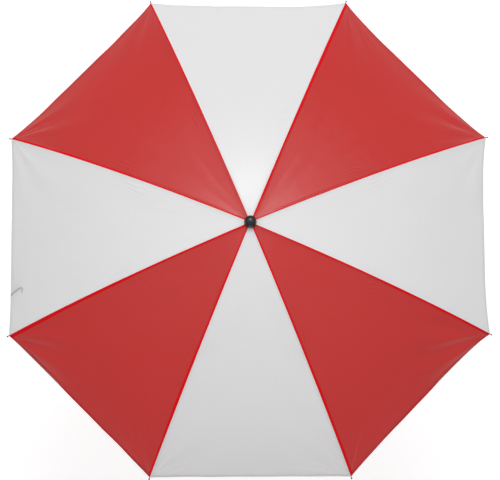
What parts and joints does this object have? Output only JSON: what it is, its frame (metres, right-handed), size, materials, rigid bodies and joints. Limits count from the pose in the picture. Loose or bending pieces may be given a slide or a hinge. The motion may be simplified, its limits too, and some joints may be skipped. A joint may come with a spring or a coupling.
{
  "type": "golf umbrella",
  "caption": "Open golf umbrella with a domed fabric canopy in alternating colours, folding metal ribs and stretchers, a sliding runner and a straight foam grip.",
  "frame": {"origin": "middle of the grip, on the shaft's axis", "axes": "+Z along the shaft from the handle to the ferrule; +X towards the middle of a white panel and the side the two catches are on; ribs at 22.5 degrees and every 45 degrees"},
  "size_m": [1.17, 1.17, 0.9799],
  "materials": {
    "canopy_white": "woven polyester, slight sheen",
    "canopy_red": "woven polyester, slight sheen",
    "black_plastic": "moulded, glossy",
    "foam": "closed-cell foam, matt",
    "steel": "plated steel, satin",
    "nickel": "nickel plated",
    "webbing": "woven strap, matt"
  },
  "bodies": {
    "shaft": {"shaft": "steel", "ferrule": "black_plastic", "canopy_cap": "black_plastic", "notch": "black_plastic", "notch_wire": "steel", "grip": "foam", "handle_cap": "black_plastic", "handle_collar": "black_plastic"},
    "runner": {"runner": "black_plastic"},
    "top_catch": {"top_catch": "nickel"},
    "bottom_catch": {"bottom_catch": "nickel"},
    "rib_inner_1": {"rib_inner_1": "steel"},
    "rib_outer_1": {"rib_outer_1": "steel", "rib_tip_1": "nickel"},
    "stretcher_1": {"stretcher_1": "steel"},
    "rib_inner_2": {"rib_inner_2": "steel"},
    "rib_outer_2": {"rib_outer_2": "steel", "rib_tip_2": "nickel"},
    "stretcher_2": {"stretcher_2": "steel"},
    "rib_inner_3": {"rib_inner_3": "steel"},
    "rib_outer_3": {"rib_outer_3": "steel", "rib_tip_3": "nickel"},
    "stretcher_3": {"stretcher_3": "steel"},
    "rib_inner_4": {"rib_inner_4": "steel"},
    "rib_outer_4": {"rib_outer_4": "steel", "rib_tip_4": "nickel"},
    "stretcher_4": {"stretcher_4": "steel"},
    "rib_inner_5": {"rib_inner_5": "steel"},
    "rib_outer_5": {"rib_outer_5": "steel", "rib_tip_5": "nickel"},
    "stretcher_5": {"stretcher_5": "steel"},
    "rib_inner_6": {"rib_inner_6": "steel"},
    "rib_outer_6": {"rib_outer_6": "steel", "rib_tip_6": "nickel"},
    "stretcher_6": {"stretcher_6": "steel"},
    "rib_inner_7": {"rib_inner_7": "steel"},
    "rib_outer_7": {"rib_outer_7": "steel", "rib_tip_7": "nickel"},
    "stretcher_7": {"stretcher_7": "steel"},
    "rib_inner_8": {"rib_inner_8": "steel"},
    "rib_outer_8": {"rib_outer_8": "steel", "rib_tip_8": "nickel"},
    "stretcher_8": {"stretcher_8": "steel"},
    "gore_1_leaf_a": {"gore_1_leaf_a": "canopy_red"},
    "gore_1_leaf_b": {"gore_1_leaf_b": "canopy_red"},
    "gore_2_leaf_a": {"gore_2_leaf_a": "canopy_white"},
    "gore_2_leaf_b": {"gore_2_leaf_b": "canopy_white"},
    "gore_3_leaf_a": {"gore_3_leaf_a": "canopy_red"},
    "gore_3_leaf_b": {"gore_3_leaf_b": "canopy_red"},
    "gore_4_leaf_a": {"gore_4_leaf_a": "canopy_white"},
    "gore_4_leaf_b": {"gore_4_leaf_b": "canopy_white"},
    "gore_5_leaf_a": {"gore_5_leaf_a": "canopy_red"},
    "gore_5_leaf_b": {"gore_5_leaf_b": "canopy_red"},
    "gore_6_leaf_a": {"gore_6_leaf_a": "canopy_white"},
    "gore_6_leaf_b": {"gore_6_leaf_b": "canopy_white"},
    "gore_7_leaf_a": {"gore_7_leaf_a": "canopy_red"},
    "gore_7_leaf_b": {"gore_7_leaf_b": "canopy_red"},
    "gore_8_leaf_a": {"gore_8_leaf_a": "canopy_white"},
    "gore_8_leaf_b": {"gore_8_leaf_b": "canopy_white"},
    "closing_strap": {"closing_strap": "webbing"}
  },
  "joints": [
    {"name": "runner_slide", "type": "slide", "parent": "shaft", "child": "runner", "axis": [0, 0, 1], "range_m": [-0.42105, 0], "deforming": ["gore_1_leaf_a", "gore_1_leaf_b", "gore_2_leaf_a", "gore_2_leaf_b", "gore_3_leaf_a", "gore_3_leaf_b", "gore_4_leaf_a", "gore_4_leaf_b", "gore_5_leaf_a", "gore_5_leaf_b", "gore_6_leaf_a", "gore_6_leaf_b", "gore_7_leaf_a", "gore_7_leaf_b", "gore_8_leaf_a", "gore_8_leaf_b", "closing_strap"]},
    {"name": "top_catch_press", "type": "slide", "parent": "shaft", "child": "top_catch", "axis": [1, 0, 0], "range_m": [-0.0026, 0], "stiffness_N_per_m": 800, "springref_m": 0.001},
    {"name": "bottom_catch_press", "type": "slide", "parent": "shaft", "child": "bottom_catch", "axis": [1, 0, 0], "range_m": [-0.0026, 0], "stiffness_N_per_m": 800, "springref_m": 0.001},
    {"name": "rib_1_hinge", "type": "hinge", "parent": "shaft", "child": "rib_inner_1", "pos_m": [0.01155, 0.00478, 0.84193], "axis": [-0.3827, 0.9239, 0], "range_deg": [0, 77.16]},
    {"name": "rib_1_flex", "type": "hinge", "parent": "rib_inner_1", "child": "rib_outer_1", "pos_m": [0.29989, 0.12422, 0.7766], "axis": [0.3827, -0.9239, 0], "range_deg": [0, 19.01]},
    {"name": "stretcher_1_hinge", "type": "hinge", "parent": "rib_inner_1", "child": "stretcher_1", "pos_m": [0.29783, 0.12337, 0.77081], "axis": [0.3827, -0.9239, 0], "range_deg": [0, 136.4]},
    {"name": "rib_2_hinge", "type": "hinge", "parent": "shaft", "child": "rib_inner_2", "pos_m": [0.00478, 0.01155, 0.84193], "axis": [-0.9239, 0.3827, 0], "range_deg": [0, 77.16]},
    {"name": "rib_2_flex", "type": "hinge", "parent": "rib_inner_2", "child": "rib_outer_2", "pos_m": [0.12422, 0.29989, 0.7766], "axis": [0.9239, -0.3827, 0], "range_deg": [0, 19.01]},
    {"name": "stretcher_2_hinge", "type": "hinge", "parent": "rib_inner_2", "child": "stretcher_2", "pos_m": [0.12337, 0.29783, 0.77081], "axis": [0.9239, -0.3827, 0], "range_deg": [0, 136.4]},
    {"name": "rib_3_hinge", "type": "hinge", "parent": "shaft", "child": "rib_inner_3", "pos_m": [-0.00478, 0.01155, 0.84193], "axis": [-0.9239, -0.3827, 0], "range_deg": [0, 77.16]},
    {"name": "rib_3_flex", "type": "hinge", "parent": "rib_inner_3", "child": "rib_outer_3", "pos_m": [-0.12422, 0.29989, 0.7766], "axis": [0.9239, 0.3827, 0], "range_deg": [0, 19.01]},
    {"name": "stretcher_3_hinge", "type": "hinge", "parent": "rib_inner_3", "child": "stretcher_3", "pos_m": [-0.12337, 0.29783, 0.77081], "axis": [0.9239, 0.3827, 0], "range_deg": [0, 136.4]},
    {"name": "rib_4_hinge", "type": "hinge", "parent": "shaft", "child": "rib_inner_4", "pos_m": [-0.01155, 0.00478, 0.84193], "axis": [-0.3827, -0.9239, 0], "range_deg": [0, 77.16]},
    {"name": "rib_4_flex", "type": "hinge", "parent": "rib_inner_4", "child": "rib_outer_4", "pos_m": [-0.29989, 0.12422, 0.7766], "axis": [0.3827, 0.9239, 0], "range_deg": [0, 19.01]},
    {"name": "stretcher_4_hinge", "type": "hinge", "parent": "rib_inner_4", "child": "stretcher_4", "pos_m": [-0.29783, 0.12337, 0.77081], "axis": [0.3827, 0.9239, 0], "range_deg": [0, 136.4]},
    {"name": "rib_5_hinge", "type": "hinge", "parent": "shaft", "child": "rib_inner_5", "pos_m": [-0.01155, -0.00478, 0.84193], "axis": [0.3827, -0.9239, 0], "range_deg": [0, 77.16]},
    {"name": "rib_5_flex", "type": "hinge", "parent": "rib_inner_5", "child": "rib_outer_5", "pos_m": [-0.29989, -0.12422, 0.7766], "axis": [-0.3827, 0.9239, 0], "range_deg": [0, 19.01]},
    {"name": "stretcher_5_hinge", "type": "hinge", "parent": "rib_inner_5", "child": "stretcher_5", "pos_m": [-0.29783, -0.12337, 0.77081], "axis": [-0.3827, 0.9239, 0], "range_deg": [0, 136.4]},
    {"name": "rib_6_hinge", "type": "hinge", "parent": "shaft", "child": "rib_inner_6", "pos_m": [-0.00478, -0.01155, 0.84193], "axis": [0.9239, -0.3827, 0], "range_deg": [0, 77.16]},
    {"name": "rib_6_flex", "type": "hinge", "parent": "rib_inner_6", "child": "rib_outer_6", "pos_m": [-0.12422, -0.29989, 0.7766], "axis": [-0.9239, 0.3827, 0], "range_deg": [0, 19.01]},
    {"name": "stretcher_6_hinge", "type": "hinge", "parent": "rib_inner_6", "child": "stretcher_6", "pos_m": [-0.12337, -0.29783, 0.77081], "axis": [-0.9239, 0.3827, 0], "range_deg": [0, 136.4]},
    {"name": "rib_7_hinge", "type": "hinge", "parent": "shaft", "child": "rib_inner_7", "pos_m": [0.00478, -0.01155, 0.84193], "axis": [0.9239, 0.3827, 0], "range_deg": [0, 77.16]},
    {"name": "rib_7_flex", "type": "hinge", "parent": "rib_inner_7", "child": "rib_outer_7", "pos_m": [0.12422, -0.29989, 0.7766], "axis": [-0.9239, -0.3827, 0], "range_deg": [0, 19.01]},
    {"name": "stretcher_7_hinge", "type": "hinge", "parent": "rib_inner_7", "child": "stretcher_7", "pos_m": [0.12337, -0.29783, 0.77081], "axis": [-0.9239, -0.3827, 0], "range_deg": [0, 136.4]},
    {"name": "rib_8_hinge", "type": "hinge", "parent": "shaft", "child": "rib_inner_8", "pos_m": [0.01155, -0.00478, 0.84193], "axis": [0.3827, 0.9239, 0], "range_deg": [0, 77.16]},
    {"name": "rib_8_flex", "type": "hinge", "parent": "rib_inner_8", "child": "rib_outer_8", "pos_m": [0.29989, -0.12422, 0.7766], "axis": [-0.3827, -0.9239, 0], "range_deg": [0, 19.01]},
    {"name": "stretcher_8_hinge", "type": "hinge", "parent": "rib_inner_8", "child": "stretcher_8", "pos_m": [0.29783, -0.12337, 0.77081], "axis": [-0.3827, -0.9239, 0], "range_deg": [0, 136.4]},
    {"name": "gore_1_fold_a", "type": "hinge", "parent": "rib_inner_1", "child": "gore_1_leaf_a", "pos_m": [0.01155, 0.00478, 0.84193], "axis": [0.9218, 0.2564, -0.2907], "range_deg": [0, 73.94]},
    {"name": "gore_1_fold_b", "type": "hinge", "parent": "rib_inner_2", "child": "gore_1_leaf_b", "pos_m": [0.00478, 0.01155, 0.84193], "axis": [-0.2564, -0.9218, 0.2907], "range_deg": [0, 73.94]},
    {"name": "gore_2_fold_a", "type": "hinge", "parent": "rib_inner_2", "child": "gore_2_leaf_a", "pos_m": [0.00478, 0.01155, 0.84193], "axis": [0.4705, 0.8332, -0.2907], "range_deg": [0, 73.94]},
    {"name": "gore_2_fold_b", "type": "hinge", "parent": "rib_inner_3", "child": "gore_2_leaf_b", "pos_m": [-0.00478, 0.01155, 0.84193], "axis": [0.4705, -0.8332, 0.2907], "range_deg": [0, 73.94]},
    {"name": "gore_3_fold_a", "type": "hinge", "parent": "rib_inner_3", "child": "gore_3_leaf_a", "pos_m": [-0.00478, 0.01155, 0.84193], "axis": [-0.2564, 0.9218, -0.2907], "range_deg": [0, 73.94]},
    {"name": "gore_3_fold_b", "type": "hinge", "parent": "rib_inner_4", "child": "gore_3_leaf_b", "pos_m": [-0.01155, 0.00478, 0.84193], "axis": [0.9218, -0.2564, 0.2907], "range_deg": [0, 73.94]},
    {"name": "gore_4_fold_a", "type": "hinge", "parent": "rib_inner_4", "child": "gore_4_leaf_a", "pos_m": [-0.01155, 0.00478, 0.84193], "axis": [-0.8332, 0.4705, -0.2907], "range_deg": [0, 73.94]},
    {"name": "gore_4_fold_b", "type": "hinge", "parent": "rib_inner_5", "child": "gore_4_leaf_b", "pos_m": [-0.01155, -0.00478, 0.84193], "axis": [0.8332, 0.4705, 0.2907], "range_deg": [0, 73.94]},
    {"name": "gore_5_fold_a", "type": "hinge", "parent": "rib_inner_5", "child": "gore_5_leaf_a", "pos_m": [-0.01155, -0.00478, 0.84193], "axis": [-0.9218, -0.2564, -0.2907], "range_deg": [0, 73.94]},
    {"name": "gore_5_fold_b", "type": "hinge", "parent": "rib_inner_6", "child": "gore_5_leaf_b", "pos_m": [-0.00478, -0.01155, 0.84193], "axis": [0.2564, 0.9218, 0.2907], "range_deg": [0, 73.94]},
    {"name": "gore_6_fold_a", "type": "hinge", "parent": "rib_inner_6", "child": "gore_6_leaf_a", "pos_m": [-0.00478, -0.01155, 0.84193], "axis": [-0.4705, -0.8332, -0.2907], "range_deg": [0, 73.94]},
    {"name": "gore_6_fold_b", "type": "hinge", "parent": "rib_inner_7", "child": "gore_6_leaf_b", "pos_m": [0.00478, -0.01155, 0.84193], "axis": [-0.4705, 0.8332, 0.2907], "range_deg": [0, 73.94]},
    {"name": "gore_7_fold_a", "type": "hinge", "parent": "rib_inner_7", "child": "gore_7_leaf_a", "pos_m": [0.00478, -0.01155, 0.84193], "axis": [0.2564, -0.9218, -0.2907], "range_deg": [0, 73.94]},
    {"name": "gore_7_fold_b", "type": "hinge", "parent": "rib_inner_8", "child": "gore_7_leaf_b", "pos_m": [0.01155, -0.00478, 0.84193], "axis": [-0.9218, 0.2564, 0.2907], "range_deg": [0, 73.94]},
    {"name": "gore_8_fold_a", "type": "hinge", "parent": "rib_inner_8", "child": "gore_8_leaf_a", "pos_m": [0.01155, -0.00478, 0.84193], "axis": [0.8332, -0.4705, -0.2907], "range_deg": [0, 73.94]},
    {"name": "gore_8_fold_b", "type": "hinge", "parent": "rib_inner_1", "child": "gore_8_leaf_b", "pos_m": [0.01155, 0.00478, 0.84193], "axis": [-0.8332, -0.4705, 0.2907], "range_deg": [0, 73.94]},
    {"name": "closing_strap_fold", "type": "hinge", "parent": "gore_4_leaf_b", "child": "closing_strap", "pos_m": [-0.55733, -0.12867, 0.61374], "axis": [0.7375, 0.1703, 0.6535], "range_deg": [0, 84]}
  ],
  "couplings": [
    {"joint": "rib_1_hinge", "follows": "runner_slide", "rad_per_m": -3.1982},
    {"joint": "rib_1_flex", "follows": "runner_slide", "rad_per_m": -0.78781},
    {"joint": "stretcher_1_hinge", "follows": "runner_slide", "rad_per_m": -5.6541},
    {"joint": "rib_2_hinge", "follows": "runner_slide", "rad_per_m": -3.1982},
    {"joint": "rib_2_flex", "follows": "runner_slide", "rad_per_m": -0.78781},
    {"joint": "stretcher_2_hinge", "follows": "runner_slide", "rad_per_m": -5.6541},
    {"joint": "rib_3_hinge", "follows": "runner_slide", "rad_per_m": -3.1982},
    {"joint": "rib_3_flex", "follows": "runner_slide", "rad_per_m": -0.78781},
    {"joint": "stretcher_3_hinge", "follows": "runner_slide", "rad_per_m": -5.6541},
    {"joint": "rib_4_hinge", "follows": "runner_slide", "rad_per_m": -3.1982},
    {"joint": "rib_4_flex", "follows": "runner_slide", "rad_per_m": -0.78781},
    {"joint": "stretcher_4_hinge", "follows": "runner_slide", "rad_per_m": -5.6541},
    {"joint": "rib_5_hinge", "follows": "runner_slide", "rad_per_m": -3.1982},
    {"joint": "rib_5_flex", "follows": "runner_slide", "rad_per_m": -0.78781},
    {"joint": "stretcher_5_hinge", "follows": "runner_slide", "rad_per_m": -5.6541},
    {"joint": "rib_6_hinge", "follows": "runner_slide", "rad_per_m": -3.1982},
    {"joint": "rib_6_flex", "follows": "runner_slide", "rad_per_m": -0.78781},
    {"joint": "stretcher_6_hinge", "follows": "runner_slide", "rad_per_m": -5.6541},
    {"joint": "rib_7_hinge", "follows": "runner_slide", "rad_per_m": -3.1982},
    {"joint": "rib_7_flex", "follows": "runner_slide", "rad_per_m": -0.78781},
    {"joint": "stretcher_7_hinge", "follows": "runner_slide", "rad_per_m": -5.6541},
    {"joint": "rib_8_hinge", "follows": "runner_slide", "rad_per_m": -3.1982},
    {"joint": "rib_8_flex", "follows": "runner_slide", "rad_per_m": -0.78781},
    {"joint": "stretcher_8_hinge", "follows": "runner_slide", "rad_per_m": -5.6541},
    {"joint": "gore_1_fold_a", "follows": "runner_slide", "rad_per_m": -3.0649},
    {"joint": "gore_1_fold_b", "follows": "runner_slide", "rad_per_m": -3.0649},
    {"joint": "gore_2_fold_a", "follows": "runner_slide", "rad_per_m": -3.0649},
    {"joint": "gore_2_fold_b", "follows": "runner_slide", "rad_per_m": -3.0649},
    {"joint": "gore_3_fold_a", "follows": "runner_slide", "rad_per_m": -3.0649},
    {"joint": "gore_3_fold_b", "follows": "runner_slide", "rad_per_m": -3.0649},
    {"joint": "gore_4_fold_a", "follows": "runner_slide", "rad_per_m": -3.0649},
    {"joint": "gore_4_fold_b", "follows": "runner_slide", "rad_per_m": -3.0649},
    {"joint": "gore_5_fold_a", "follows": "runner_slide", "rad_per_m": -3.0649},
    {"joint": "gore_5_fold_b", "follows": "runner_slide", "rad_per_m": -3.0649},
    {"joint": "gore_6_fold_a", "follows": "runner_slide", "rad_per_m": -3.0649},
    {"joint": "gore_6_fold_b", "follows": "runner_slide", "rad_per_m": -3.0649},
    {"joint": "gore_7_fold_a", "follows": "runner_slide", "rad_per_m": -3.0649},
    {"joint": "gore_7_fold_b", "follows": "runner_slide", "rad_per_m": -3.0649},
    {"joint": "gore_8_fold_a", "follows": "runner_slide", "rad_per_m": -3.0649},
    {"joint": "gore_8_fold_b", "follows": "runner_slide", "rad_per_m": -3.0649},
    {"joint": "closing_strap_fold", "follows": "runner_slide", "rad_per_m": -3.482}
  ]
}
